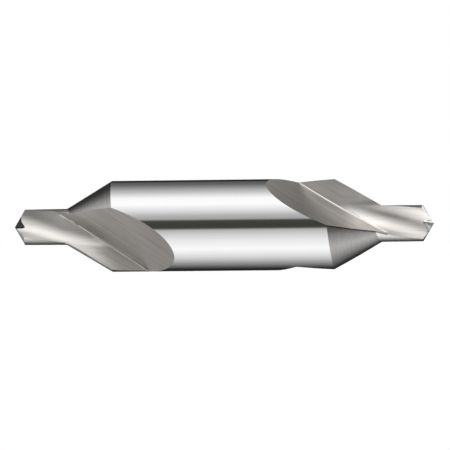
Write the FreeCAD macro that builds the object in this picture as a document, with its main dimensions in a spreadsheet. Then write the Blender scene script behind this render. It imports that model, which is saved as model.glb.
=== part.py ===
import FreeCAD, Part
import math
import os
import Sketcher
from FreeCAD import Placement, Rotation, Vector

# Combined centre drill: a short double-ended tool ground from one round bar.
# Each end has a drill pilot, a 60 degree countersink behind it and two short
# right-hand flutes that run out in the body. Millimetres and degrees.
# The tool lies along X with its middle at the origin. +Z is up.
#
# One end is modelled first, on its own axis: the point is at the origin and
# +Z runs into the body. A lip's place round the axis is a turn from +Y towards
# +X, and the flutes turn the other way as they go up the tool.

SIZES = {
    # the turned blank
    "overall_length": 74.0,
    "body_dia": 16.0,
    "pilot_dia": 6.4,
    "pilot_length": 9.1,
    "point_angle": 118.0,
    "countersink_angle": 60.0,
    # the helical part of a flute, by its section square to the axis
    "flute_lead": 94.0,
    "flute_angle": 106.8,
    "heel_angle": 91.6,
    "root_radius": 3.837,
    "root_offset": 0.55,
    "rake_radius": 3.5,
    "rake_bend_angle": 14.2,
    "groove_reach": 16.6,
    "flute_start": 2.0,
    # the grinding wheel where it stops, which shapes the run-out of a flute
    "wheel_radius": 74.9,
    "wheel_width": 34.0,
    "wheel_setting_angle": 33.4,
    "wheel_flank_angle": 41.6,
    "wheel_face_angle": 30.0,
    "wheel_reach": 20.34,
    "wheel_drop": 5.64,
    "wheel_depth": 0.08,
    # the relief behind each cutting lip
    "lip_angle": -25.5,
    "relief_lead_angle": 20.0,
    "pilot_relief": 0.1,
    "countersink_relief": 0.55,
    "point_relief_angle": 12.0,
    "land_split_angle": 20.0,
    # the notch that thins the web beside each half of the chisel edge
    "split_offset": 0.2,
    "split_width": 1.95,
    "split_angle": 100.0,
    "split_root_radius": 0.5,
    "split_lean_angle": 18.9,
    "split_reach": 3.0,
    # how far each end is turned from the flute's own setting
    "left_phase_angle": 0.0,
    "right_phase_angle": 23.0,
}

PILOT = "Sizes.pilot_dia / 2"
BODY = "Sizes.body_dia / 2"
FLARE_END = f"Sizes.pilot_length + ({BODY} - {PILOT}) / tan(Sizes.countersink_angle / 2 * 1deg)"
TOOL_RADIUS = "Sizes.body_dia"
SPIN_AXIS = Vector(0, 0, 1)
TILT_AXIS = Vector(0, 1, 0)


def make_sheet(doc):
    sheet = doc.addObject("Spreadsheet::Sheet", "Sizes")
    for row, (name, value) in enumerate(SIZES.items(), start=1):
        sheet.set(f"A{row}", name)
        sheet.set(f"B{row}", str(value))
        sheet.setAlias(f"B{row}", name)
    doc.recompute()
    return sheet


def bind(item, formulas):
    for path, formula in formulas.items():
        item.setExpression(path, formula)


def pin_distance(sketch, kind, first, second, formula, guess=1.0):
    constraint = Sketcher.Constraint(kind, *first, *second, guess)
    index = sketch.addConstraint(constraint)
    sketch.setExpression(f"Constraints[{index}]", formula)


def make_blank(doc):
    # The turned blank of one end, from its point to the middle of the tool.
    body = doc.addObject("PartDesign::Body", "end_blank")
    sketch = body.newObject("Sketcher::SketchObject", "blank_profile")
    plane = next(f for f in body.Origin.OriginFeatures if f.Role == "XZ_Plane")
    sketch.AttachmentSupport = [(plane, "")]
    sketch.MapMode = "FlatFace"
    point_end = f"{PILOT} / tan(Sizes.point_angle / 2 * 1deg)"
    middle = "Sizes.overall_length / 2"
    corners = [
        (PILOT, point_end),
        (PILOT, "Sizes.pilot_length"),
        (BODY, FLARE_END),
        (BODY, middle),
    ]
    rough = [(0, 0), (3, 2), (3, 9), (8, 17), (8, 37), (0, 37)]
    for i, start in enumerate(rough):
        end = rough[(i + 1) % len(rough)]
        sketch.addGeometry(Part.LineSegment(Vector(*start, 0), Vector(*end, 0)), False)
    last = len(rough) - 1
    for i in range(last):
        sketch.addConstraint(Sketcher.Constraint("Coincident", i, 2, i + 1, 1))
    sketch.addConstraint(Sketcher.Constraint("Coincident", last, 2, 0, 1))
    sketch.addConstraint(Sketcher.Constraint("Coincident", 0, 1, -1, 1))
    sketch.addConstraint(Sketcher.Constraint("Vertical", last))
    sketch.addConstraint(Sketcher.Constraint("Horizontal", last - 1))
    for edge, (across, up) in enumerate(corners, start=1):
        pin_distance(sketch, "DistanceX", (-1, 1), (edge, 1), across, rough[edge][0])
        pin_distance(sketch, "DistanceY", (-1, 1), (edge, 1), up, rough[edge][1])
    turned = body.newObject("PartDesign::Revolution", "turned_blank")
    turned.Profile = sketch
    turned.ReferenceAxis = (sketch, ["V_Axis"])
    turned.Angle = 360
    body.Tip = turned
    return body


def toward(turn):
    # The direction at a turn from +Y towards +X.
    angle = math.radians(turn)
    return Vector(math.sin(angle), math.cos(angle), 0)


def groove_section(size):
    # A heel wall and a rake wall joined by a round root. Past the pilot's
    # radius the rake wall bends outward, to run into what the wheel's face cuts.
    heel = toward(size("heel_angle"))
    rake_angle = size("heel_angle") - size("flute_angle")
    rake = toward(rake_angle)
    corner = Vector(-size("root_offset"), 0, 0)
    half_angle = math.radians(size("flute_angle") / 2)
    radius = size("root_radius")
    tangent = radius / math.tan(half_angle)
    bisector = (heel + rake).normalize()
    mouth = size("body_dia")
    heel_foot = corner + heel * tangent
    root = corner + bisector * (radius / math.sin(half_angle) - radius)
    rake_foot = corner + rake * tangent
    bend = size("rake_bend_angle")
    middle = rake_foot + bend_chord(rake_angle, bend / 2, size("rake_radius"))
    rake_end = rake_foot + bend_chord(rake_angle, bend, size("rake_radius"))
    rim = rake_end + toward(rake_angle + bend) * mouth
    heel_end = corner + heel * mouth
    edges = [
        Part.makeLine(heel_end, heel_foot),
        Part.Arc(heel_foot, root, rake_foot).toShape(),
        Part.Arc(rake_foot, middle, rake_end).toShape(),
        Part.makeLine(rake_end, rim),
        Part.makeLine(rim, rim + heel * mouth),
        Part.makeLine(rim + heel * mouth, heel_end),
    ]
    return Part.Wire(edges)


def bend_chord(start_angle, bend, radius):
    # The chord of an arc that leaves along start_angle and turns by bend.
    length = 2 * radius * math.sin(math.radians(bend / 2))
    return toward(start_angle + bend / 2) * length


def make_groove(doc, sheet):
    # The helical groove, swept from ahead of the point to where the wheel stops.
    section = doc.addObject("Part::Feature", "groove_section")
    section.Shape = groove_section(lambda name: sheet.get(name))
    section.Placement = Placement(Vector(), Rotation(SPIN_AXIS, -1))
    bind(section, {
        "Placement.Base.z": "-Sizes.flute_start",
        "Placement.Rotation.Angle": "-360 * Sizes.flute_start / Sizes.flute_lead",
    })
    path = doc.addObject("Part::Helix", "groove_path")
    bind(path, {
        "Pitch": "Sizes.flute_lead",
        "Height": "Sizes.flute_start + Sizes.groove_reach",
        "Radius": PILOT,
        "Placement.Base.z": "-Sizes.flute_start",
    })
    groove = doc.addObject("Part::Sweep", "helical_groove")
    groove.Sections = [section]
    groove.Spine = path
    groove.Solid = True
    groove.Frenet = True
    return groove


def wheel_cone(doc, name, back_radius, front_radius):
    # One flank of the wheel, as a cone on the wheel's axis. The wheel stands
    # across the flute, and its rim reaches the depth of the tool's own axis.
    cone = doc.addObject("Part::Cone", name)
    cone.Placement = Placement(Vector(), Rotation(TILT_AXIS, 1))
    half = "Sizes.wheel_width / 2"
    bind(cone, {
        "Radius1": back_radius,
        "Radius2": front_radius,
        "Height": "Sizes.wheel_width",
        "Placement.Base.x": f"-Sizes.wheel_drop - {half} * cos(Sizes.wheel_setting_angle * 1deg)",
        "Placement.Base.y": "Sizes.wheel_radius - Sizes.wheel_depth",
        "Placement.Base.z": f"Sizes.wheel_reach - {half} * sin(Sizes.wheel_setting_angle * 1deg)",
        "Placement.Rotation.Angle": "90 - Sizes.wheel_setting_angle",
    })
    return cone


def make_flute_cutter(doc, sheet):
    # What the wheel takes out for one flute: its flank bounds everything, and
    # its face and the groove that it swept on the way share the other side.
    half = "Sizes.wheel_width / 2"
    flank_step = f"{half} / tan(Sizes.wheel_flank_angle * 1deg)"
    face_step = f"{half} * tan(Sizes.wheel_face_angle * 1deg)"
    rim = "Sizes.wheel_radius"
    flank = wheel_cone(doc, "wheel_flank_cone", f"{rim} + {flank_step}", f"{rim} - {flank_step}")
    face = wheel_cone(doc, "wheel_face_cone", f"{rim} - {face_step}", f"{rim} + {face_step}")
    swept = doc.addObject("Part::Fuse", "face_and_groove")
    swept.Base = face
    swept.Tool = make_groove(doc, sheet)
    cutter = doc.addObject("Part::Common", "flute_cutter")
    cutter.Base = swept
    cutter.Tool = flank
    return cutter


def relief_circle(doc, name, height, radius, offset):
    # A circle set off the axis, a little ahead of the lip, so that the land
    # falls away behind the lip while the lip keeps its true radius.
    circle = doc.addObject("Part::Circle", name)
    lip = f"(Sizes.lip_angle - 360 * ({height}) / Sizes.flute_lead + Sizes.relief_lead_angle) * 1deg"
    bind(circle, {
        "Radius": f"{radius} - {offset} * cos(Sizes.relief_lead_angle * 1deg)",
        "Placement.Base.x": f"{offset} * sin({lip})",
        "Placement.Base.y": f"{offset} * cos({lip})",
        "Placement.Base.z": height,
    })
    return circle


def relief_loft(doc, name, low, high):
    loft = doc.addObject("Part::Loft", name)
    loft.Sections = [low, high]
    loft.Solid = True
    loft.Ruled = True
    return loft


def land_side(doc, name, bottom, height):
    # The half of the space round the tool that holds one land.
    half = doc.addObject("Part::Cylinder", name)
    half.Placement = Placement(Vector(), Rotation(SPIN_AXIS, 1))
    bind(half, {
        "Radius": TOOL_RADIUS,
        "Angle": "180",
        "Height": height,
        "Placement.Base.z": bottom,
        "Placement.Rotation.Angle": "90 + Sizes.land_split_angle",
    })
    return half


def make_pilot_relief(doc):
    low = relief_circle(doc, "pilot_relief_low", "0", PILOT, "Sizes.pilot_relief")
    high = relief_circle(doc, "pilot_relief_high", "Sizes.pilot_length", PILOT, "Sizes.pilot_relief")
    cutter = doc.addObject("Part::Cut", "pilot_relief_cutter")
    cutter.Base = land_side(doc, "pilot_land_side", "0", "Sizes.pilot_length")
    cutter.Tool = relief_loft(doc, "relieved_pilot", low, high)
    return cutter


def make_countersink_relief(doc):
    # The relieved cone runs past the body's diameter, so the land's heel ends
    # further up the body than its lip.
    slope = "tan(Sizes.countersink_angle / 2 * 1deg)"
    rise = "2 * Sizes.countersink_relief"
    offset = "Sizes.countersink_relief"
    top = f"{FLARE_END} + {rise} / {slope}"
    low = relief_circle(doc, "countersink_relief_low", "Sizes.pilot_length", PILOT, offset)
    high = relief_circle(doc, "countersink_relief_high", top, f"{BODY} + {rise}", offset)
    core = doc.addObject("Part::Cylinder", "pilot_core")
    bind(core, {"Radius": PILOT, "Height": top})
    kept = doc.addObject("Part::Fuse", "relieved_countersink")
    kept.Base = relief_loft(doc, "relieved_cone", low, high)
    kept.Tool = core
    cutter = doc.addObject("Part::Cut", "countersink_relief_cutter")
    height = f"{top} - Sizes.pilot_length"
    cutter.Base = land_side(doc, "countersink_land_side", "Sizes.pilot_length", height)
    cutter.Tool = kept
    return cutter


def make_point_flank(doc):
    # A flat flank through the lip. It falls away behind the lip, and the two
    # flanks meet in the chisel edge.
    lip_slope = "1 / tan(Sizes.point_angle / 2 * 1deg)"
    back_slope = "tan(Sizes.point_relief_angle * 1deg)"
    steep = f"atan(sqrt(({lip_slope}) ^ 2 + ({back_slope}) ^ 2))"
    tilted = doc.addObject("Part::Cylinder", "point_flank_tilt")
    tilted.Placement = Placement(Vector(), Rotation(TILT_AXIS, 1))
    bind(tilted, {
        "Radius": TOOL_RADIUS,
        "Height": TOOL_RADIUS,
        "Placement.Rotation.Angle": f"180 - {steep} / 1deg",
    })
    turned = doc.addObject("App::Link", "point_flank")
    turned.LinkedObject = tilted
    turned.LinkTransform = True
    turned.Placement = Placement(Vector(), Rotation(SPIN_AXIS, 1))
    behind = f"atan(({back_slope}) / ({lip_slope})) / 1deg"
    turned.setExpression("Placement.Rotation.Angle", f"90 - Sizes.lip_angle + {behind}")
    return turned


def make_split_notch(doc):
    # A narrow flat-bottomed notch beside the chisel edge. Its side wall stands
    # just past the chisel edge, its bottom runs through the point itself, and
    # both lean back into the flute from a round root.
    sketch = doc.addObject("Sketcher::SketchObject", "split_notch_profile")
    rough = [(-0.2, 0.5), (-0.2, 16), (1.75, 16), (1.75, -0.3), (0.3, -0.05)]
    for start, end in zip(rough, rough[1:]):
        sketch.addGeometry(Part.LineSegment(Vector(*start, 0), Vector(*end, 0)), False)
    root = Part.Circle(Vector(0.3, 0.45, 0), SPIN_AXIS, 0.5)
    sketch.addGeometry(Part.ArcOfCircle(root, math.radians(180), math.radians(260)), False)
    for constraint in (
        ("Coincident", 0, 2, 1, 1),
        ("Coincident", 1, 2, 2, 1),
        ("Coincident", 2, 2, 3, 1),
        ("Tangent", 4, 1, 0, 1),
        ("Tangent", 4, 2, 3, 2),
        ("Vertical", 0),
        ("Horizontal", 1),
        ("Vertical", 2),
        ("PointOnObject", -1, 1, 3),
    ):
        sketch.addConstraint(Sketcher.Constraint(*constraint))
    pin_distance(sketch, "DistanceX", (0, 2), (-1, 1), "Sizes.split_offset", 0.2)
    pin_distance(sketch, "DistanceX", (0, 2), (1, 2), "Sizes.split_width", 1.95)
    pin_distance(sketch, "DistanceY", (-1, 1), (0, 2), TOOL_RADIUS, 16)
    pin_distance(sketch, "Radius", (4,), (), "Sizes.split_root_radius", 0.5)
    pin_distance(sketch, "Angle", (3, 2), (0, 1), "Sizes.split_angle * 1deg", math.radians(100))
    notch = doc.addObject("Part::Extrusion", "split_notch")
    notch.Base = sketch
    notch.DirMode = "Custom"
    notch.Solid = True
    bind(notch, {
        "Dir.x": "0",
        "Dir.y": "sin(Sizes.split_lean_angle * 1deg)",
        "Dir.z": "cos(Sizes.split_lean_angle * 1deg)",
        "LengthFwd": "Sizes.split_reach",
    })
    return notch


def cut_both_sides(doc, base, cutter):
    # Takes the cutter's shape out twice, half a turn apart.
    opposite = doc.addObject("App::Link", f"{cutter.Name}_opposite")
    opposite.LinkedObject = cutter
    opposite.LinkTransform = True
    opposite.Placement = Placement(Vector(), Rotation(SPIN_AXIS, 180))
    for number, tool in enumerate((cutter, opposite), start=1):
        cut = doc.addObject("Part::Cut", f"{cutter.Name}_cut_{number}")
        cut.Base = base
        cut.Tool = tool
        base = cut
    return base


def make_end(doc, sheet):
    end = make_blank(doc)
    cutters = [
        make_countersink_relief(doc),
        make_pilot_relief(doc),
        make_point_flank(doc),
        make_split_notch(doc),
        make_flute_cutter(doc, sheet),
    ]
    for cutter in cutters:
        end = cut_both_sides(doc, end, cutter)
    return end


def place_end(doc, end, side, phase, reach, lie):
    # Turns an end on its own axis, then lays it along X with its point outward.
    turned = doc.addObject("App::Link", f"{side}_end_turned")
    turned.LinkedObject = end
    turned.LinkTransform = True
    turned.Placement = Placement(Vector(), Rotation(SPIN_AXIS, 1))
    turned.setExpression("Placement.Rotation.Angle", phase)
    laid = doc.addObject("App::Link", f"{side}_end")
    laid.LinkedObject = turned
    laid.LinkTransform = True
    laid.Placement = Placement(Vector(), Rotation(lie, 180))
    laid.setExpression("Placement.Base.x", reach)
    return laid


def main():
    doc = FreeCAD.newDocument("centre_drill")
    sheet = make_sheet(doc)
    end = make_end(doc, sheet)
    half = "Sizes.overall_length / 2"
    left_lie = Vector(1, 0, 1)
    right_lie = Vector(1, 0, -1)
    tool = doc.addObject("Part::Fuse", "tool")
    tool.Base = place_end(doc, end, "left", "Sizes.left_phase_angle", f"-{half}", left_lie)
    tool.Tool = place_end(doc, end, "right", "Sizes.right_phase_angle", half, right_lie)
    tool.Refine = True
    tool.Label = "centre_drill"
    doc.recompute()
    for item in doc.Objects:
        if "Invalid" in item.State or "Error" in item.State:
            raise RuntimeError(f"{item.Name} failed: {item.State}")
    if tool.Shape.isNull() or not tool.Shape.isValid():
        raise RuntimeError("the tool's shape is not valid")
    os.makedirs("parts", exist_ok=True)
    tool.Shape.exportStep(f"parts/{tool.Label}.step")
    print(f"{tool.Label}: {len(tool.Shape.Solids)} solid, {len(tool.Shape.Faces)} faces, "
          f"{tool.Shape.Volume:.1f} cubic mm")


main()
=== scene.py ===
import math

import bmesh
import bpy
from mathutils import Matrix, Vector


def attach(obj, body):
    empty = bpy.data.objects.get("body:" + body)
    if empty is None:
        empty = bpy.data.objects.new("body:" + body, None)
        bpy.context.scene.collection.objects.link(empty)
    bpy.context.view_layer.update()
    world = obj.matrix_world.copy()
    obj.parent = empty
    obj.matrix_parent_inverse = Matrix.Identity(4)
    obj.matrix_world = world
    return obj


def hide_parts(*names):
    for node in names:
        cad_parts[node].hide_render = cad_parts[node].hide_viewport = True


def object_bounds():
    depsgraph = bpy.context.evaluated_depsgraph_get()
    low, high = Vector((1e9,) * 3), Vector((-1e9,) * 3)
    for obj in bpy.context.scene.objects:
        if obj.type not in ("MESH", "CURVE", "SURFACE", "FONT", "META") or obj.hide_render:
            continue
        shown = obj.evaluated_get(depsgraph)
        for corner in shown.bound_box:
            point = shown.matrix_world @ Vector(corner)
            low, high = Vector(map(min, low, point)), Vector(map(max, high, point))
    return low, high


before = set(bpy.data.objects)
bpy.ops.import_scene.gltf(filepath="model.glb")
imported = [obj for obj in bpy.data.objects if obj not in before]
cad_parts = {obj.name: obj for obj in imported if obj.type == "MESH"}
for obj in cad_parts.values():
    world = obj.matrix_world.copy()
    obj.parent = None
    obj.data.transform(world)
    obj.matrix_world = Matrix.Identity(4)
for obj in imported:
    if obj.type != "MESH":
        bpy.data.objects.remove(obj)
cad_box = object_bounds()

MM_PER_METRE = 1000

# The view: how far the camera stands, how it is turned, and the width that the picture takes in.
CAMERA_DISTANCE = 0.650
CAMERA_TURN = math.radians(6.2)
CAMERA_ROLL = math.radians(0.6)
CAMERA_CLIP = (0.05, 20)
SENSOR_WIDTH = 36
PICTURE_PIXELS = 450
PIXELS_PER_METRE = 5700
PICTURE_WIDTH = PICTURE_PIXELS / PIXELS_PER_METRE
AIM_RIGHT = 1.8 / PIXELS_PER_METRE
AIM_UP = 0.25 / PIXELS_PER_METRE

# The white paper well under the tool, with its sizes in metres, and the lamp above it.
PAPER_DROP = 0.055
PAPER_REACH = 12.0
PAPER_WHITE = 0.9
PAPER_GLOW = 0.23
LAMP_STRENGTH = 1.35
LAMP_SPREAD = math.radians(25)

# The tool's sizes, in millimetres and degrees: two from the frame, the others as the tool's source has them.
HALF_LENGTH = round(cad_box[1][0] * MM_PER_METRE, 3)
BODY_RADIUS = round(cad_box[1][2] * MM_PER_METRE, 3)
PILOT_LENGTH = 9.1
PILOT_RADIUS = 3.2
CONE_SLOPE = math.radians(30)
RIGHT_PHASE = 23.0
FLUTE_LEAD = 94.0
FLUTE_ANGLE = 106.8
HEEL_ANGLE = 91.6
ROOT_RADIUS = 3.837
ROOT_OFFSET = 0.55
RAKE_RADIUS = 3.5
RAKE_BEND = 14.2
WHEEL_RADIUS = 74.9
WHEEL_SETTING = 33.4
WHEEL_FLANK = 41.6
WHEEL_FACE = 30.0
WHEEL_REACH = 20.34
WHEEL_DROP = 5.64
WHEEL_DEPTH = 0.08
PITCH = FLUTE_LEAD / (2 * math.pi)

# How the tool's triangles are joined, in metres, and from which turn on an edge between two is sharp.
MERGE_DISTANCE = 2e-6
SHARP_TURN = math.radians(24)
# How they are told apart, in millimetres. A triangle on the body or on a flute's surface lies as near to it
# as the tolerance and faces its way. The others are walls in a groove, the point, its notch, or lands.
SURFACE_TOLERANCE = 0.006
SAME_WAY = 0.9
WALL_START = 4.0
WALL_OUTWARD = 0.3
POINT_DEPTH = 2.2
POINT_FORWARD = 0.6
NOTCH_MARGIN = 0.15

# The bead that rounds the corner of each ridge, in millimetres. The taper is how long its ends are.
FILLET_RADIUS = 0.2
FILLET_STEP = 0.4
FILLET_TAPER = 0.8
FILLET_SIDES = 6
FILLET_SINK = 0.03

# How a flute's wall leans for its shine, by the distance from the tool's middle, at each end.
LEFT_CROWN = [
    (14.0, 0.08), (17.5, 0.07), (20.0, 0.0), (21.5, -0.06), (23.4, -0.14), (26.0, -0.13), (28.5, -0.05),
    (38.0, -0.05),
]
RIGHT_CROWN = [
    (14.0, 0.08), (17.5, 0.07), (20.75, 0.0), (23.4, -0.06), (27.5, -0.08), (38.0, -0.08),
]
# Where the rake wall's shine takes after the wheel's face: past the root, and near the tool's middle.
WALL_BLEND_RISE = 1.0
WALL_BLEND_START = 30.0
WALL_BLEND_RUN = 4.0
MEETING_SHARE = 0.5

# How bright the studio is round the tool's axis: 0 is the camera's side, 90 straight up, 180 behind.
# One profile for what stands to the left, one for the middle and one for the right.
STUDIO_STRENGTH = 1.6
LEFT_LIGHT = [
    (-180, 0.25), (-140, 0.18), (-118, 0.18), (-100, 0.28), (-75, 0.30), (-58, 0.23), (-48, 0.22),
    (-38, 0.18), (-26, 0.14), (-15, 0.12), (-6, 0.15), (0, 0.20), (10, 0.36), (21, 0.56), (32, 0.72),
    (45, 0.75), (60, 0.58), (80, 0.45), (100, 0.28), (116, 0.09), (136, 0.02), (180, 0.02),
]
MIDDLE_LIGHT = [
    (-180, 0.06), (-160, 0.02), (-146, 0.01), (-130, 0.09), (-110, 0.30), (-87, 0.67), (-62, 0.95),
    (-39, 0.80), (-20, 0.57), (-11, 0.42), (-3, 0.34), (6, 0.34), (16, 0.36), (25, 0.43), (38, 0.70),
    (56, 0.97), (74, 0.92), (92, 0.55), (110, 0.29), (126, 0.13), (144, 0.08), (151, 0.01), (165, 0.02),
    (180, 0.06),
]
RIGHT_LIGHT = [
    (-180, 0.0), (-150, 0.01), (-132, 0.07), (-110, 0.21), (-92, 0.33), (-72, 0.42), (-52, 0.28),
    (-30, 0.20), (-10, 0.05), (10, 0.04), (30, 0.14), (50, 0.27), (70, 0.32), (90, 0.28), (110, 0.20),
    (130, 0.38), (150, 0.54), (158, 0.7), (168, 1.2), (180, 1.0),
]
LEFT_FADE = (0.18, 0.40)
RIGHT_FADE = (0.2, 0.5)
# The dark gap between the light boxes, where the camera's stand is, and how far it reaches to each side.
CAMERA_GAP = [(-180, 1.0), (-11, 1.0), (-7.5, 0.11), (12.5, 0.13), (16, 1.0), (180, 1.0)]
GAP_SIDE = -0.1
GAP_WIDTHS = (0.06, 0.16)
STAND_COLOUR = (1.0, 1.02, 0.86)

BRIGHT_STEEL = (0.64, 0.64, 0.64)
TURNED_STEEL = (0.652, 0.637, 0.618)
BRUSHED_STEEL = (0.665, 0.632, 0.602)
FLUTE_STEEL = (0.658, 0.637, 0.613)

# Painted light and shade from place to place along X, in millimetres from the tool's middle: the steel is
# painted darker or brighter towards each end as the light falls there. Their ramp is as long as the span and
# goes up to the brightest level.
PAINTED_LIGHT_SPAN = 80.0
BRIGHTEST_PAINTED_LIGHT = 2
FLUTE_PAINTED_LIGHT = [
    (-30, 1.03), (-22, 0.88), (-8, 0.88), (8, 1.0), (19, 1.0), (24, 1.2), (30, 1.03), (32, 1.08),
    (34.5, 1.2), (37, 1.35),
]
FLANK_PAINTED_LIGHT = [
    (-27, 1.25), (-21, 1.06), (-16, 1.06), (-12, 0.96), (12, 0.84), (17, 0.60), (21.5, 0.64), (24, 0.98),
]
# Each ground surface: its roughness, how deep and how far apart its marks are in millimetres, how long
# they run, how much they shade the steel, the steel's colour, and its painted light and shade along X.
FINISHES = {
    "body": (0.10, 0.0006, 0.25, 6.0, 0.02, BRIGHT_STEEL, [(-37, 1.0), (37, 1.0)]),
    "land": (0.24, 0.002, 0.20, 8.0, 0.16, TURNED_STEEL, [(-20, 0.88), (20, 1.07)]),
    "point": (0.24, 0.002, 0.28, 5.0, 0.20, TURNED_STEEL, [(-20, 0.9), (20, 1.45)]),
    # The left notch is painted nearly black, a painted dark reflection; the right one is painted brighter.
    "notch": (0.20, 0.0, 0.28, 5.0, 0.05, TURNED_STEEL, [(-20, 0.07), (20, 1.5)]),
    "flank": (0.36, 0.004, 0.15, 12.0, 0.60, BRUSHED_STEEL, FLANK_PAINTED_LIGHT),
    "face": (0.30, 0.003, 0.15, 10.0, 0.40, FLUTE_STEEL, FLUTE_PAINTED_LIGHT),
    "groove": (0.30, 0.003, 0.15, 10.0, 0.30, FLUTE_STEEL, FLUTE_PAINTED_LIGHT),
    "fillet": (0.25, 0.0, 0.28, 9.0, 0.0, TURNED_STEEL, [(-20, 1.05), (20, 1.15)]),
}
KINDS = list(FINISHES)

# The fine painted dark lines at the left countersink's lips and at the right one's heel, in millimetres: a
# painted dark reflection along the lips and painted shade along the heel.
PAINTED_LIP_REFLECTION_WIDTH = 0.36
PAINTED_LIP_REFLECTION_DEPTH = 0.92
PAINTED_LIP_REFLECTION_RISE = 0.4
PAINTED_LIP_REFLECTION_SPAN = (5.0, 10.0)
PAINTED_HEEL_SHADE_WIDTH = 0.40
PAINTED_HEEL_SHADE_DEPTH = 0.95
HEEL_START = 10.0
FAR_FROM_HEEL = 9.0


def toward(turn):
    """The direction in a section at a turn from +Y towards +X."""
    angle = math.radians(turn)
    return Vector((math.sin(angle), math.cos(angle)))


def zero_to_one(value):
    return min(max(value, 0.0), 1.0)


def in_mm(vert):
    return vert.co * MM_PER_METRE


class Section:
    """A flute's section: a heel wall, a round root and a rake wall that bends outward."""

    def __init__(self):
        self.corner = Vector((-ROOT_OFFSET, 0))
        self.heel = toward(HEEL_ANGLE)
        self.heel_normal = Vector((-self.heel.y, self.heel.x))
        rake_angle = HEEL_ANGLE - FLUTE_ANGLE
        self.rake = toward(rake_angle)
        rake_normal = Vector((self.rake.y, -self.rake.x))
        half_angle = math.radians(FLUTE_ANGLE / 2)
        self.tangent = ROOT_RADIUS / math.tan(half_angle)
        bisector = (self.heel + self.rake).normalized()
        self.root_centre = self.corner + bisector * (ROOT_RADIUS / math.sin(half_angle))
        foot = self.corner + self.rake * self.tangent
        self.bend_centre = foot + rake_normal * RAKE_RADIUS
        self.wall = toward(rake_angle + RAKE_BEND)
        self.wall_normal = Vector((self.wall.y, -self.wall.x))
        self.wall_foot = self.bend_centre - self.wall_normal * RAKE_RADIUS

    def past_root(self, point):
        return (point - self.corner).dot(self.rake) - self.tangent

    def gap_and_normal(self, point):
        """How far a point of the section plane is from the steel, and which way is open."""
        beside = point - self.corner
        if self.past_root(point) > 0:
            if (point - self.wall_foot).dot(self.wall) > 0:
                return (point - self.wall_foot).dot(self.wall_normal), self.wall_normal
            inward = self.bend_centre - point
            return RAKE_RADIUS - inward.length, inward.normalized()
        if beside.dot(self.heel) > self.tangent:
            return beside.dot(self.heel_normal), self.heel_normal
        inward = self.root_centre - point
        return ROOT_RADIUS - inward.length, inward.normalized()


class Flute:
    """One of the four flutes, on its own axes: the point at the origin and +Z into the tool. Its side is -1
    at the left end and 1 at the right. Each of its ground surfaces gives how far off a point is, and its
    own normal there."""

    section = Section()

    def __init__(self, side, phase, half_turn):
        lay = Matrix(((0, 0, -side, 0), (0, -1, 0, 0), (-side, 0, 0, HALF_LENGTH), (0, 0, 0, 1)))
        turn = -math.radians(phase) - (math.pi if half_turn else 0)
        self.side = side
        self.from_tool = Matrix.Rotation(turn, 4, "Z") @ lay
        self.to_tool = self.from_tool.to_3x3().transposed()
        setting = math.radians(WHEEL_SETTING)
        self.axis = Vector((math.cos(setting), 0, math.sin(setting)))
        self.down = Vector((0, -1, 0))
        self.across = self.axis.cross(self.down)
        self.wheel_centre = Vector((-WHEEL_DROP, WHEEL_RADIUS - WHEEL_DEPTH, WHEEL_REACH))

    def on_wheel(self, point):
        """A point's place on the wheel: along its axis, then two ways across it."""
        offset = self.from_tool @ point - self.wheel_centre
        return Vector((offset.dot(self.axis), offset.dot(self.down), offset.dot(self.across)))

    def wheel_side(self, point, slope, sign):
        place = self.on_wheel(point)
        radius = math.hypot(place.y, place.z)
        outward = (self.down * place.y + self.across * place.z) / radius
        rise = math.sin(slope)
        run = math.cos(slope) * sign
        gap = -((radius - WHEEL_RADIUS) * rise + place.x * run)
        return gap, self.to_tool @ -(outward * rise + self.axis * run)

    def flank(self, point):
        return self.wheel_side(point, math.radians(WHEEL_FLANK), 1)

    def face(self, point):
        return self.wheel_side(point, math.radians(90 - WHEEL_FACE), -1)

    def in_section(self, point):
        """A point carried back along the flute's twist to its section at the tip, and the turn undone."""
        place = self.from_tool @ point
        turn = place.z / PITCH
        cos, sin = math.cos(turn), math.sin(turn)
        return Vector((place.x * cos + place.y * sin, place.y * cos - place.x * sin)), cos, sin

    def groove(self, point):
        flat, cos, sin = self.in_section(point)
        gap, normal = self.section.gap_and_normal(flat)
        rise = (normal.x * flat.y - normal.y * flat.x) / PITCH
        turned = Vector((normal.x * cos - normal.y * sin, normal.y * cos + normal.x * sin, rise))
        return gap, self.to_tool @ turned.normalized()

    def wall_share(self, point):
        """How much the rake wall's shine takes after the wheel's face, where the two meet."""
        past_root = self.section.past_root(self.in_section(point)[0])
        near_face = (WALL_BLEND_START - abs(point.x)) / WALL_BLEND_RUN
        return zero_to_one(past_root / WALL_BLEND_RISE) * zero_to_one(near_face)


FLUTES = [
    Flute(side, phase, half_turn)
    for side, phase in ((-1, 0), (1, RIGHT_PHASE))
    for half_turn in (False, True)
]


def body_surface(point):
    radius = math.hypot(point.y, point.z)
    return radius - BODY_RADIUS, Vector((0, point.y, point.z)).normalized()


def sort_face(face):
    """Which ground surface a triangle belongs to, and on which flute, as far as it lies on one."""
    corners = [in_mm(vert) for vert in face.verts]
    centre = sum(corners, Vector()) / len(corners)
    choices = [("body", None, body_surface)]
    for flute in FLUTES:
        if flute.side * centre.x > 0:
            choices += [
                ("flank", flute, flute.flank),
                ("face", flute, flute.face),
                ("groove", flute, flute.groove),
            ]
    best = None
    best_match = SAME_WAY
    for kind, flute, surface in choices:
        if max(abs(surface(corner)[0]) for corner in corners) > SURFACE_TOLERANCE:
            continue
        match = face.normal.dot(surface(centre)[1])
        if match > best_match:
            best, best_match = (kind, flute), match
    return best or (leftover_kind(centre, face.normal), None)


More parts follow.
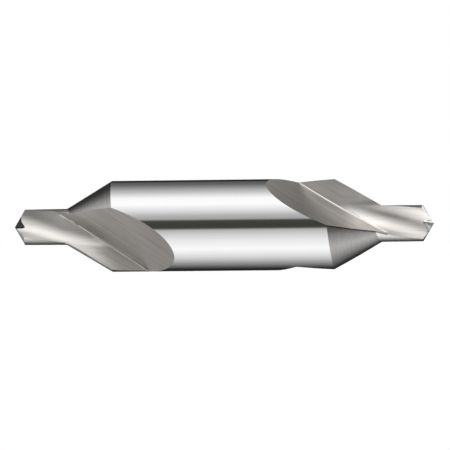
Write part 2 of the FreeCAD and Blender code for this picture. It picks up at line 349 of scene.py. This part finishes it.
def leftover_kind(centre, normal):
    """What a triangle is that lies on none of the surfaces with a formula of their own."""
    radial = Vector((0, centre.y, centre.z)).normalized()
    tip_distance = HALF_LENGTH - abs(centre.x)
    if tip_distance > WALL_START and normal.dot(radial) < WALL_OUTWARD:
        return "groove"
    if tip_distance < POINT_DEPTH and abs(normal.x) > POINT_FORWARD:
        return "point"
    if tip_distance < POINT_DEPTH and math.hypot(centre.y, centre.z) < PILOT_RADIUS - NOTCH_MARGIN:
        return "notch"
    return "land"


def grain_place(kind, flute, point):
    """The place that a surface's grinding marks are worked out from."""
    if flute is None:
        return point
    if kind == "groove":
        return flute.from_tool @ point
    return flute.on_wheel(point)


def heel_edges(sorts, edges):
    """The right countersink's heels, where its land meets the wheel's flank, as pairs of points."""
    heels = []
    for edge in edges:
        start, end = [in_mm(vert) for vert in edge.verts]
        kinds = {sorts[face][0] for face in edge.link_faces}
        if kinds == {"land", "flank"} and HEEL_START < min(start.x, end.x) < HALF_LENGTH - PILOT_LENGTH:
            heels.append((start, end))
    return heels


def heel_distance(heels, point):
    nearest = FAR_FROM_HEEL
    for start, end in heels:
        along = end - start
        share = zero_to_one((point - start).dot(along) / along.length_squared)
        nearest = min(nearest, (point - start - along * share).length)
    return nearest


def corner_lines(sorts, edges):
    """For each flute, the line where the wheel's flank meets its face or groove, point by point."""
    lines = []
    for flute in FLUTES:
        links = {}
        for edge in edges:
            pair = [sorts[face] for face in edge.link_faces]
            if ("flank", flute) in pair and {kind for kind, _ in pair} & {"face", "groove"}:
                first, second = edge.verts
                links.setdefault(first, []).append(second)
                links.setdefault(second, []).append(first)
        line = []
        for start in [vert for vert, near in links.items() if len(near) == 1]:
            path = [start]
            while True:
                onward = [vert for vert in links[path[-1]] if vert not in path]
                if not onward:
                    break
                path.append(onward[0])
            line = max(line, path, key=len)
        lines.append((flute, [in_mm(vert) for vert in line]))
    return lines


def even_steps(line):
    """A line's points with more between them, so that none are further apart than a step."""
    steps = []
    for start, end in zip(line, line[1:]):
        count = max(1, round((end - start).length / FILLET_STEP))
        steps += [start.lerp(end, i / count) for i in range(count)]
    steps.append(line[-1])
    return steps


def fillet_ring(flute, point, ahead, radius):
    """The bead's outline across one point of the corner: an arc that touches both walls, and a foot."""
    flank_normal = flute.flank(point)[1]
    other_normal = max((flute.face(point), flute.groove(point)), key=lambda found: -abs(found[0]))[1]
    along_flank = ahead.cross(flank_normal).normalized()
    along_flank *= math.copysign(1, along_flank.dot(other_normal))
    along_other = ahead.cross(other_normal).normalized()
    along_other *= math.copysign(1, along_other.dot(flank_normal))
    half_angle = along_flank.angle(along_other) / 2
    middle = (along_flank + along_other).normalized()
    centre = point + middle * (radius / math.sin(half_angle))
    reach = radius / math.tan(half_angle)
    first = point + along_flank * reach - centre
    last = point + along_other * reach - centre
    shares = [i / FILLET_SIDES for i in range(FILLET_SIDES + 1)]
    arc = [centre + first.lerp(last, share).normalized() * radius for share in shares]
    return arc + [point - middle * FILLET_SINK]


def corner_fillet(mesh, flute, line):
    """A thin bead that rounds the corner which the wheel's rim leaves, narrowing to a point at each end."""
    steps = even_steps(line)
    travelled = [0.0]
    for start, end in zip(steps, steps[1:]):
        travelled.append(travelled[-1] + (end - start).length)
    rings = []
    for i, point in enumerate(steps[1:-1], start=1):
        room = min(travelled[i], travelled[-1] - travelled[i]) / FILLET_TAPER
        radius = FILLET_RADIUS * min(1.0, math.sqrt(room))
        ahead = (steps[i + 1] - steps[i - 1]).normalized()
        ring = fillet_ring(flute, point, ahead, radius)
        rings.append([mesh.verts.new(place / MM_PER_METRE) for place in ring])
    faces = []
    tips = [mesh.verts.new(place / MM_PER_METRE) for place in (steps[0], steps[-1])]
    size = len(rings[0])
    for ring, following in zip(rings, rings[1:]):
        for i in range(size):
            j = (i + 1) % size
            faces.append(mesh.faces.new((ring[i], ring[j], following[j], following[i])))
    for tip, ring in zip(tips, (rings[0], rings[-1])):
        for i in range(size):
            faces.append(mesh.faces.new((tip, ring[i], ring[(i + 1) % size])))
    return faces


def crown_turn(crown, distance):
    """How far a flute's wall leans towards the tool's middle: grinding leaves it a little rounded."""
    for (start, low), (end, high) in zip(crown, crown[1:]):
        if start < distance <= end:
            return low + (high - low) * (distance - start) / (end - start)
    return 0.0


def true_normal(kind, flute, vert, sorts):
    """The normal of the surface itself, or None where there is no formula for it. Where a flute's groove
    runs into its face, the two are blended."""
    point = in_mm(vert)
    if kind == "body":
        return body_surface(point)[1]
    if flute is None or kind == "fillet":
        return None
    if kind == "flank":
        return flute.flank(point)[1]
    near = {sorts[face][0] for face in vert.link_faces}
    share = flute.wall_share(point)
    if "face" in near:
        share = max(share, MEETING_SHARE) if "groove" in near else 1.0
    normal = flute.groove(point)[1].lerp(flute.face(point)[1], share)
    crown = RIGHT_CROWN if flute.side > 0 else LEFT_CROWN
    normal.x -= flute.side * crown_turn(crown, abs(point.x))
    return normal.normalized()


def mark_faces(mesh, sorts, heels):
    """Each face gets its material, and each of its corners the places that its material reads."""
    grain = mesh.loops.layers.float_vector.new("grain")
    heel = mesh.loops.layers.float.new("heel")
    for face, (kind, flute) in sorts.items():
        face.material_index = KINDS.index(kind)
        face.smooth = True
        for corner in face.loops:
            point = in_mm(corner.vert)
            corner[grain] = grain_place(kind, flute, point)
            corner[heel] = heel_distance(heels, point) if kind == "land" else FAR_FROM_HEEL


def mark_edges(mesh, sorts):
    """An edge is sharp where it turns sharply or where two surfaces meet, save a flute's face and groove."""
    for edge in mesh.edges:
        kinds = {sorts[face][0] for face in edge.link_faces}
        sharp_turn = edge.calc_face_angle(0) > SHARP_TURN
        edge.smooth = not sharp_turn and (len(kinds) == 1 or kinds == {"face", "groove"})


def exact_normals(sorts):
    """The true normals, by the index of the face and that of the corner's point."""
    exact = {}
    for face, (kind, flute) in sorts.items():
        for vert in face.verts:
            normal = true_normal(kind, flute, vert, sorts)
            if normal is not None:
                exact[(face.index, vert.index)] = normal
    return exact


def set_normals(data, exact):
    """The true normals where there are some, and elsewhere those that the mesh has by itself."""
    if "custom_normal" in data.attributes:
        data.attributes.remove(data.attributes["custom_normal"])
    normals = [Vector(corner.vector) for corner in data.corner_normals]
    for polygon in data.polygons:
        for corner in polygon.loop_indices:
            key = (polygon.index, data.loops[corner].vertex_index)
            normals[corner] = exact.get(key, normals[corner])
    data.normals_split_custom_set(normals)


def dressed_mesh(source):
    """The tool's own triangles, sorted by ground surface, with a bead along each ridge."""
    mesh = bmesh.new()
    mesh.from_mesh(source)
    bmesh.ops.remove_doubles(mesh, verts=mesh.verts, dist=MERGE_DISTANCE)
    mesh.normal_update()
    sorts = {face: sort_face(face) for face in mesh.faces}
    lines = corner_lines(sorts, list(mesh.edges))
    heels = heel_edges(sorts, mesh.edges)
    for flute, line in lines:
        beads = corner_fillet(mesh, flute, line)
        bmesh.ops.recalc_face_normals(mesh, faces=beads)
        for face in beads:
            sorts[face] = ("fillet", flute)
    mesh.faces.index_update()
    mesh.verts.index_update()
    mark_faces(mesh, sorts, heels)
    mark_edges(mesh, sorts)
    exact = exact_normals(sorts)
    data = bpy.data.meshes.new("dressed_tool")
    mesh.to_mesh(data)
    mesh.free()
    set_normals(data, exact)
    return data


class Wire:
    """A shader socket that takes part in sums."""

    def __init__(self, nodes, socket):
        self.nodes = nodes
        self.socket = socket

    def __add__(self, other):
        return maths("ADD", self, other)

    def __radd__(self, other):
        return maths("ADD", other, self)

    def __sub__(self, other):
        return maths("SUBTRACT", self, other)

    def __rsub__(self, other):
        return maths("SUBTRACT", other, self)

    def __mul__(self, other):
        return maths("MULTIPLY", self, other)

    def __rmul__(self, other):
        return maths("MULTIPLY", other, self)

    def __truediv__(self, other):
        return maths("DIVIDE", self, other)

    def __getitem__(self, name):
        """Another output of the same node."""
        return Wire(self.nodes, self.socket.node.outputs[name])


class Nodes:
    """The nodes of a material or of the world."""

    def __init__(self, tree):
        self.tree = tree

    def add(self, kind, settings=None, inputs=(), output=0):
        """One node: its settings first, then the values or wires of its inputs."""
        node = self.tree.nodes.new(kind)
        for name, value in (settings or {}).items():
            if name == "stops":
                set_stops(node.color_ramp, value)
            else:
                setattr(node, name, value)
        pairs = inputs.items() if isinstance(inputs, dict) else enumerate(inputs)
        for key, value in pairs:
            self.feed(node.inputs[key], value)
        return Wire(self, node.outputs[output])

    def feed(self, socket, value):
        """A wire is linked to a socket, and a plain value is set on it."""
        if isinstance(value, Wire):
            self.tree.links.new(value.socket, socket)
        else:
            socket.default_value = value


def set_stops(ramp, stops):
    while len(ramp.elements) < len(stops):
        ramp.elements.new(0.5)
    for element, (place, level) in zip(ramp.elements, stops):
        element.position = place
        element.color = (level, level, level, 1)


def maths(operation, *values):
    """A Math node on wires and plain numbers, in the wires' own tree."""
    nodes = next(value.nodes for value in values if isinstance(value, Wire))
    return nodes.add("ShaderNodeMath", {"operation": operation}, values)


def blend(weight, low, high):
    return low + weight * (high - low)


def rise_between(value, low, high):
    """0 below low, 1 above high, with a smooth rise between."""
    settings = {"interpolation_type": "SMOOTHSTEP"}
    inputs = {"Value": value, "From Min": low, "From Max": high, "To Min": 0.0, "To Max": 1.0}
    return value.nodes.add("ShaderNodeMapRange", settings, inputs)


def split_xyz(place):
    split = place.nodes.add("ShaderNodeSeparateXYZ", None, [place])
    return [split[name] for name in "XYZ"]


def studio_world():
    """Long soft boxes above and below the line of sight. They fade towards the tool's two ends, and the
    camera's own stand leaves a narrow dark gap between them. The camera itself sees white."""
    world = bpy.data.worlds.new("studio")
    bpy.context.scene.world = world
    world.use_nodes = True
    world.node_tree.nodes.clear()
    nodes = Nodes(world.node_tree)
    side, ahead, up = split_xyz(nodes.add("ShaderNodeTexCoord")["Generated"])
    place = maths("ARCTAN2", up, ahead * -1) / (2 * math.pi) + 0.5
    profiles = []
    for profile in (LEFT_LIGHT, MIDDLE_LIGHT, RIGHT_LIGHT, CAMERA_GAP):
        stops = [(turn / 360 + 0.5, level) for turn, level in profile]
        profiles.append(nodes.add("ShaderNodeValToRGB", {"stops": stops}, [place]))
    left, middle, right, gap = profiles
    gap_edge = rise_between(maths("ABSOLUTE", side - GAP_SIDE), *GAP_WIDTHS)
    open_gap = blend(gap_edge, gap, 1.0)
    toward_right = rise_between(side, *RIGHT_FADE)
    toward_left = rise_between(side * -1, *LEFT_FADE)
    light = blend(toward_left, blend(toward_right, middle * open_gap, right), left)
    tint = [light * blend(open_gap, shade, 1.0) for shade in STAND_COLOUR]
    colour = nodes.add("ShaderNodeCombineXYZ", None, tint)
    studio = nodes.add("ShaderNodeBackground", None, [colour, STUDIO_STRENGTH])
    white = nodes.add("ShaderNodeBackground", None, [(1, 1, 1, 1), 1.0])
    seen = nodes.add("ShaderNodeLightPath")["Is Camera Ray"]
    mixed = nodes.add("ShaderNodeMixShader", None, [seen, studio, white])
    out = world.node_tree.nodes.new("ShaderNodeOutputWorld")
    nodes.feed(out.inputs[0], mixed)


def grinding_lines(nodes, kind, pitch, run):
    """A streaky noise, fine across a surface's grinding marks and long along them."""
    x, y, z = split_xyz(nodes.add("ShaderNodeAttribute", {"attribute_name": "grain"}, (), "Vector"))
    if kind == "groove":
        turn = z / PITCH
        cos, sin = maths("COSINE", turn), maths("SINE", turn)
        place = [(x * cos + y * sin) / pitch, (y * cos - x * sin) / pitch, z / run]
    else:
        radius = maths("SQRT", y * y + z * z)
        place = [x / pitch, radius / pitch, maths("ARCTAN2", z, y) * radius / run]
    spot = nodes.add("ShaderNodeCombineXYZ", None, place)
    inputs = {"Vector": spot, "Scale": 1.0, "Detail": 3.0, "Roughness": 0.6}
    return nodes.add("ShaderNodeTexNoise", None, inputs)


def painted_light_along(place, painted_light_levels):
    """Painted light and shade that change along the tool's axis."""
    stops = [(x / PAINTED_LIGHT_SPAN + 0.5, painted_light / BRIGHTEST_PAINTED_LIGHT) for x, painted_light in painted_light_levels]
    along = split_xyz(place)[0] / (PAINTED_LIGHT_SPAN / MM_PER_METRE) + 0.5
    return place.nodes.add("ShaderNodeValToRGB", {"stops": stops}, [along]) * BRIGHTEST_PAINTED_LIGHT


def painted_lip_reflection(place):
    """A painted dark reflection: a fine dark line along the left countersink's lips, where its relieved land
    shows past the edge.
    """
    x, y, z = [part * MM_PER_METRE for part in split_xyz(place)]
    radius = maths("SQRT", y * y + z * z)
    up_the_cone = (x + HALF_LENGTH - PILOT_LENGTH) * math.tan(CONE_SLOPE)
    full = maths("MINIMUM", up_the_cone + PILOT_RADIUS, BODY_RADIUS)
    edge = rise_between(full - radius, 0.0, PAINTED_LIP_REFLECTION_WIDTH)
    on_cone = rise_between(up_the_cone, 0.0, PAINTED_LIP_REFLECTION_RISE)
    before_middle = rise_between(x * -1, *PAINTED_LIP_REFLECTION_SPAN)
    return 1 - (1 - edge) * on_cone * before_middle * PAINTED_LIP_REFLECTION_DEPTH


def painted_heel_shade(nodes):
    """Painted shade: a fine dark line on the right countersink's land, along the heel that the wheel's flank
    leaves.
    """
    near = nodes.add("ShaderNodeAttribute", {"attribute_name": "heel"}, (), "Fac")
    return 1 - (1 - rise_between(near, 0.0, PAINTED_HEEL_SHADE_WIDTH)) * PAINTED_HEEL_SHADE_DEPTH


def ground_steel(kind):
    roughness, depth, pitch, run, shade, colour, painted_light_levels = FINISHES[kind]
    material = bpy.data.materials.new(f"ground_{kind}")
    material.use_nodes = True
    nodes = Nodes(material.node_tree)
    shader = material.node_tree.nodes["Principled BSDF"]
    shader.inputs["Metallic"].default_value = 1
    shader.inputs["Roughness"].default_value = roughness
    lines = grinding_lines(nodes, kind, pitch, run)
    place = nodes.add("ShaderNodeTexCoord")["Object"]
    # Painted light and shade along X, carried in the steel's colour.
    painted_light = painted_light_along(place, painted_light_levels)
    if kind in ("face", "groove"):
        # A painted dark reflection along the lips.
        painted_light = painted_light * painted_lip_reflection(place)
    if kind == "land":
        # Painted shade along the heel.
        painted_light = painted_light * painted_heel_shade(nodes)
    level = (lines - 0.5) * (2 * shade) + painted_light
    steel = nodes.add("ShaderNodeCombineXYZ", None, [level * part for part in colour])
    nodes.feed(shader.inputs["Base Color"], steel)
    if depth:
        inputs = {"Strength": 1.0, "Distance": depth / MM_PER_METRE, "Height": lines}
        nodes.feed(shader.inputs["Normal"], nodes.add("ShaderNodeBump", None, inputs))
    return material


def dress_tool():
    """The tool with a finish of its own on each ground surface, in place of the plain solid."""
    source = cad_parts["centre_drill"]
    data = dressed_mesh(source.data)
    for kind in KINDS:
        data.materials.append(ground_steel(kind))
    tool = bpy.data.objects.new("dressed_tool", data)
    bpy.context.scene.collection.objects.link(tool)
    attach(tool, "root")
    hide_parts("centre_drill")


def photo_camera():
    right = Vector((math.cos(CAMERA_TURN), math.sin(CAMERA_TURN), 0))
    ahead = Vector((-math.sin(CAMERA_TURN), math.cos(CAMERA_TURN), 0))
    up = Vector((0, 0, 1))
    tilt_right = right * math.cos(CAMERA_ROLL) - up * math.sin(CAMERA_ROLL)
    tilt_up = right * math.sin(CAMERA_ROLL) + up * math.cos(CAMERA_ROLL)
    data = bpy.data.cameras.new("photo_view")
    data.sensor_width = SENSOR_WIDTH
    data.lens = data.sensor_width / PICTURE_WIDTH * CAMERA_DISTANCE
    data.clip_start, data.clip_end = CAMERA_CLIP
    camera = bpy.data.objects.new("photo_view", data)
    bpy.context.scene.collection.objects.link(camera)
    place = right * AIM_RIGHT + up * AIM_UP - ahead * CAMERA_DISTANCE
    turn = Matrix((tilt_right, tilt_up, -ahead)).transposed().to_4x4()
    camera.matrix_world = Matrix.Translation(place) @ turn
    bpy.context.scene.camera = camera


def white_paper():
    """White paper well under the tool. The camera sees it lit up to white, save where a shadow falls."""
    data = bpy.data.meshes.new("floor")
    corners = [(-1, -1), (1, -1), (1, 1), (-1, 1)]
    points = [(x * PAPER_REACH, y * PAPER_REACH, -PAPER_DROP) for x, y in corners]
    data.from_pydata(points, [], [(0, 1, 2, 3)])
    floor = bpy.data.objects.new("floor", data)
    bpy.context.scene.collection.objects.link(floor)
    material = bpy.data.materials.new("white_paper")
    material.use_nodes = True
    nodes = Nodes(material.node_tree)
    shader = material.node_tree.nodes["Principled BSDF"]
    shader.inputs["Base Color"].default_value = (PAPER_WHITE, PAPER_WHITE, PAPER_WHITE, 1)
    shader.inputs["Emission Strength"].default_value = 1
    seen = nodes.add("ShaderNodeLightPath")["Is Camera Ray"]
    nodes.feed(shader.inputs["Emission Color"], seen * PAPER_GLOW)
    data.materials.append(material)
    floor.visible_glossy = False


def overhead_lamp():
    """A soft lamp straight above, for the tool's shadow on the paper. The steel doesn't mirror it."""
    data = bpy.data.lights.new("overhead_lamp", "SUN")
    data.energy = LAMP_STRENGTH
    data.angle = LAMP_SPREAD
    lamp = bpy.data.objects.new("overhead_lamp", data)
    bpy.context.scene.collection.objects.link(lamp)
    lamp.visible_glossy = False


bpy.context.scene.view_settings.view_transform = "Standard"
studio_world()
photo_camera()
white_paper()
overhead_lamp()
dress_tool()
